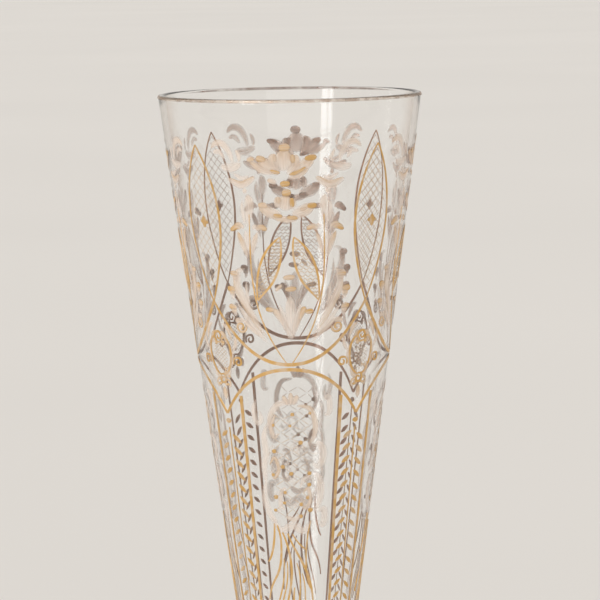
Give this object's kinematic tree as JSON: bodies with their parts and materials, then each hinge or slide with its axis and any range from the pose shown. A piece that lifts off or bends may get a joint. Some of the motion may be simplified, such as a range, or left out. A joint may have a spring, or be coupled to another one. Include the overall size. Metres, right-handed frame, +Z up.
{
  "type": "champagne flute",
  "caption": "Tall conical champagne flute of clear glass on a knop, short stem and round foot, with gilded ovals, swags and pilasters round the bowl.",
  "frame": {"origin": "centre of the foot's underside, on the plane that the glass stands on", "axes": "+Z up along the axis of the glass; the middle of the first panel faces -Y; the middle of the first pilaster is 45 degrees from it towards +X"},
  "size_m": [0.066, 0.066, 0.224],
  "materials": {
    "clear_glass": "polished",
    "gilding": "fired gold, worn satin",
    "matt_engraving": "matt ground"
  },
  "bodies": {
    "root": {"bowl": "clear_glass", "collar": "clear_glass", "knop": "clear_glass", "stem": "clear_glass", "foot": "clear_glass", "gilt_shank_ring": "gilding", "gilt_foot_ring": "gilding", "gilt_swag_1": "gilding", "gilt_swag_2": "gilding", "gilt_swag_3": "gilding", "gilt_swag_4": "gilding", "gilt_arch_1": "gilding", "gilt_arch_2": "gilding", "gilt_arch_3": "gilding", "gilt_arch_4": "gilding", "gilt_lyre_1": "gilding", "gilt_lyre_2": "gilding", "gilt_lyre_3": "gilding", "gilt_lyre_4": "gilding", "gilt_leaf_pair_1": "gilding", "gilt_leaf_pair_2": "gilding", "gilt_leaf_pair_3": "gilding", "gilt_leaf_pair_4": "gilding", "gilt_plume_1": "gilding", "gilt_plume_2": "gilding", "gilt_plume_3": "gilding", "gilt_plume_4": "gilding", "gilt_oval_1": "gilding", "gilt_oval_2": "gilding", "gilt_oval_3": "gilding", "gilt_oval_4": "gilding", "gilt_scrolls_1": "gilding", "gilt_scrolls_2": "gilding", "gilt_scrolls_3": "gilding", "gilt_scrolls_4": "gilding", "gilt_bars_1": "gilding", "gilt_bars_2": "gilding", "gilt_bars_3": "gilding", "gilt_bars_4": "gilding", "gilt_vine_1": "gilding", "gilt_vine_2": "gilding", "gilt_vine_3": "gilding", "gilt_vine_4": "gilding"}
  },
  "joints": []
}
